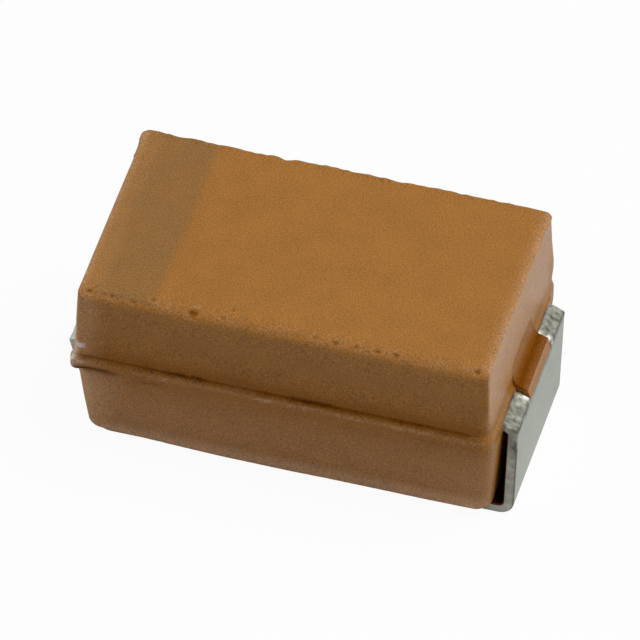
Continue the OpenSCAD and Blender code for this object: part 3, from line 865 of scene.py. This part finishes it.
def epoxy():
    """Filled orange-brown epoxy: grain, the greyer polarity band, wear, dirt and a smear. It also carries
    painted highlights, reflection, shade and shadow, and painted glints.
    """
    material, nodes, links, shader = new_material("epoxy_skin")
    shader.inputs["Roughness"].default_value = 0.6
    shader.inputs["Specular IOR Level"].default_value = 0.0
    shader.inputs["Coat Roughness"].default_value = 0.35
    links.new(stored_mask(nodes, "glaze"), shader.inputs["Coat Weight"])
    grain = grain_node(nodes, fine_scale=55000, broad_scale=3000, fine_tone=2.1, broad_tone=0.25)
    colour = tinted(nodes, links, (0.323, 0.133, 0.02, 1), "band", (0.245, 0.118, 0.028, 1))
    # Paler by wear and by painted highlights, painted reflection and painted light.
    colour = tinted(nodes, links, colour, "wear_and_light", (0.6, 0.36, 0.2, 1))
    # Browner by dirt and by painted shade and shadow.
    colour = tinted(nodes, links, colour, "stain_and_shade", (0.21, 0.066, 0.004, 1))
    # Darker by dirt and by painted shade and shadow.
    colour = tinted(nodes, links, colour, "dirt_and_shade", (0.03, 0.008, 0.002, 1))
    colour = tinted(nodes, links, colour, "smear", (0.36, 0.35, 0.27, 1))
    # Pale painted glints on the left corner.
    colour = tinted(nodes, links, colour, "painted_glint", (0.7, 0.63, 0.6, 1))
    links.new(toned(nodes, links, colour, grain.outputs["Tone"]), shader.inputs["Base Color"])
    bumped(nodes, links, shader, grain.outputs["Height"], distance=4e-6)
    return material


def tin_plate():
    """Dull tin plate: metal with a fine mottle, strong at the bends. It has painted shade on the inner faces
    and along both side edges of the plates, and is bright at the burrs.
    """
    material, nodes, links, shader = new_material("tin_plate_skin")
    shader.inputs["Metallic"].default_value = 1.0
    shader.inputs["Roughness"].default_value = 0.5
    smooth = grain_node(nodes, fine_scale=25000, broad_scale=3000, fine_tone=0.3, broad_tone=0.2)
    mottled = grain_node(nodes, fine_scale=15000, broad_scale=6000, fine_tone=2.2, broad_tone=1.2)
    worked = stored_mask(nodes, "worked")
    tone = nodes.new("ShaderNodeMix")
    links.new(worked, tone.inputs["Factor"])
    links.new(smooth.outputs["Tone"], tone.inputs["A"])
    links.new(mottled.outputs["Tone"], tone.inputs["B"])
    colour = tinted(nodes, links, (0.435, 0.456, 0.406, 1), "sheared", (0.43, 0.43, 0.38, 1))
    colour = tinted(nodes, links, colour, "worked", (0.19, 0.19, 0.155, 1))
    colour = tinted(nodes, links, colour, "burr", (0.9, 0.9, 0.88, 1))
    # Painted shade: the inner faces are dark, with a thin dark line along the plates' side edges.
    colour = tinted(nodes, links, colour, "shaded", (0.08, 0.028, 0.02, 1))
    links.new(toned(nodes, links, colour, tone.outputs["Result"]), shader.inputs["Base Color"])
    bumped(nodes, links, shader, mottled.outputs["Height"], distance=3e-6)
    return material


def plain_finish(name, colour, metallic, roughness, scale, tone):
    """A grained finish for a piece inside the case."""
    material, nodes, links, shader = new_material(name)
    shader.inputs["Metallic"].default_value = metallic
    shader.inputs["Roughness"].default_value = roughness
    grain = grain_node(nodes, scale, scale / 8, tone, tone / 2)
    links.new(toned(nodes, links, colour, grain.outputs["Tone"]), shader.inputs["Base Color"])
    bumped(nodes, links, shader, grain.outputs["Height"], distance=5e-6)
    return material


def dress(node, material):
    """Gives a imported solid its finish."""
    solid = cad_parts[node]
    solid.data.materials.clear()
    solid.data.materials.append(material)


def show(piece, node):
    """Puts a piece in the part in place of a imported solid."""
    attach(piece, "root")
    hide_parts(node)


# The pieces that show, and the finishes of the solids inside

show(moulded_case(epoxy()), "moulded_case")
tin = tin_plate()
cathode = terminal("cathode_terminal_skin", CATHODE_REACH, CATHODE_LEAN, cathode_tab(), False, tin)
show(cathode, "cathode_terminal")
anode = terminal("anode_terminal_skin", ANODE_REACH, ANODE_LEAN, anode_tab(), True, tin)
show(anode, "anode_terminal")
silver = plain_finish("silver_paint_skin", (0.5, 0.5, 0.48), 0.6, 0.5, 20000, 0.6)
dress("silver_coat", silver)
dress("silver_adhesive", silver)
dress("niobium_oxide_slug", plain_finish("slug_skin", (0.035, 0.037, 0.05), 0.0, 0.8, 15000, 1.2))
dress("anode_wire", plain_finish("wire_skin", (0.35, 0.35, 0.37), 1.0, 0.4, 20000, 0.3))
dress("wire_washer", plain_finish("washer_skin", (0.8, 0.8, 0.78), 0.0, 0.4, 10000, 0.2))


# Stage, light and camera

def background_rays(nodes, links):
    """1 for the rays that show the background: camera, glossy and transmission rays."""
    path = nodes.new("ShaderNodeLightPath")
    shown = path.outputs["Is Camera Ray"]
    for kind in ("Is Glossy Ray", "Is Transmission Ray"):
        either = nodes.new("ShaderNodeMath")
        either.operation = "MAXIMUM"
        links.new(shown, either.inputs[0])
        links.new(path.outputs[kind], either.inputs[1])
        shown = either.outputs[0]
    return shown


def pale_floor():
    """A wide flat sheet just under the feet; for the rays that the camera sees it is mostly white."""
    half, below, white_share = 0.3, 2e-6, 0.95
    corners = [(-half, -half, -below), (half, -half, -below), (half, half, -below), (-half, half, -below)]
    mesh = bpy.data.meshes.new("floor")
    mesh.from_pydata(corners, [], [(0, 1, 2, 3)])
    material, nodes, links, shader = new_material("floor_paper")
    shader.inputs["Base Color"].default_value = (0.71, 0.71, 0.71, 1)
    shader.inputs["Roughness"].default_value = 1.0
    shader.inputs["Specular IOR Level"].default_value = 0.0
    white = nodes.new("ShaderNodeEmission")
    path = nodes.new("ShaderNodeLightPath")
    share = nodes.new("ShaderNodeMath")
    share.operation = "MULTIPLY"
    links.new(path.outputs["Is Camera Ray"], share.inputs[0])
    share.inputs[1].default_value = white_share
    mix = nodes.new("ShaderNodeMixShader")
    links.new(share.outputs[0], mix.inputs["Fac"])
    links.new(shader.outputs[0], mix.inputs[1])
    links.new(white.outputs[0], mix.inputs[2])
    links.new(mix.outputs[0], nodes["Material Output"].inputs["Surface"])
    mesh.materials.append(material)
    floor = bpy.data.objects.new("floor", mesh)
    bpy.context.scene.collection.objects.link(floor)


def softbox(name, aim, distance, size, strength):
    """A square lamp, metres away along a direction; strength 1 lights a facing white sheet to white."""
    lamp = bpy.data.lights.new(name, "AREA")
    lamp.shape = "SQUARE"
    lamp.size = size
    lamp.energy = strength * math.pi ** 2 * distance ** 2
    away = Vector(aim).normalized()
    turned = away.to_track_quat("Z", "Y").to_matrix().to_4x4()
    box = bpy.data.objects.new(name, lamp)
    box.matrix_world = Matrix.Translation(away * distance) @ turned
    bpy.context.scene.collection.objects.link(box)


def studio_world():
    """Dim even light all round, white for the rays that show the background."""
    world = bpy.data.worlds.new("studio")
    world.use_nodes = True
    bpy.context.scene.world = world
    nodes, links = world.node_tree.nodes, world.node_tree.links
    dim = nodes["Background"]
    dim.inputs["Color"].default_value = (1, 1, 1, 1)
    dim.inputs["Strength"].default_value = 0.12
    white = nodes.new("ShaderNodeBackground")
    white.inputs["Color"].default_value = (1, 1, 1, 1)
    mix = nodes.new("ShaderNodeMixShader")
    links.new(background_rays(nodes, links), mix.inputs["Fac"])
    links.new(dim.outputs[0], mix.inputs[1])
    links.new(white.outputs[0], mix.inputs[2])
    links.new(mix.outputs[0], nodes["World Output"].inputs["Surface"])


def camera():
    """A long lens above the front, turned to the cathode end, and shifted by some pixels of the picture."""
    azimuth, elevation, roll = np.radians([15.5803, 45.2551, 0.4762])
    pixels_per_mm, distance, picture_width, sensor_width = 80.0435, 169.49, 640, 36
    pixels_right, pixels_up = 6.2244, 7.2781
    middle = np.array([CASE_SHIFT - 0.01, 0, 1.45])
    right = np.array([np.cos(azimuth), np.sin(azimuth), 0])
    forward = np.array([-np.sin(azimuth), np.cos(azimuth), 0])
    back = np.array([0, 0, np.sin(elevation)]) - np.cos(elevation) * forward
    up = np.cross(back, right)
    right, up = np.cos(roll) * right + np.sin(roll) * up, np.cos(roll) * up - np.sin(roll) * right
    shift = (right * pixels_right + up * pixels_up) / pixels_per_mm
    lens = bpy.data.cameras.new("camera")
    lens.sensor_width = sensor_width
    lens.lens = sensor_width * pixels_per_mm * distance / picture_width
    lens.clip_start, lens.clip_end = 0.01, 2.0
    turned = Matrix(np.column_stack([right, up, back]).tolist()).to_4x4()
    seen = bpy.data.objects.new("camera", lens)
    seen.matrix_world = Matrix.Translation((middle + back * distance + shift) * MM) @ turned
    bpy.context.scene.collection.objects.link(seen)
    bpy.context.scene.camera = seen


pale_floor()
studio_world()
softbox("overhead", aim=(0.5, 0.08, 0.87), distance=0.09, size=0.07, strength=0.98)
softbox("left_fill", aim=(-0.95, -0.08, 0.3), distance=0.12, size=0.1, strength=0.55)
camera()
bpy.context.scene.view_settings.view_transform = "Standard"
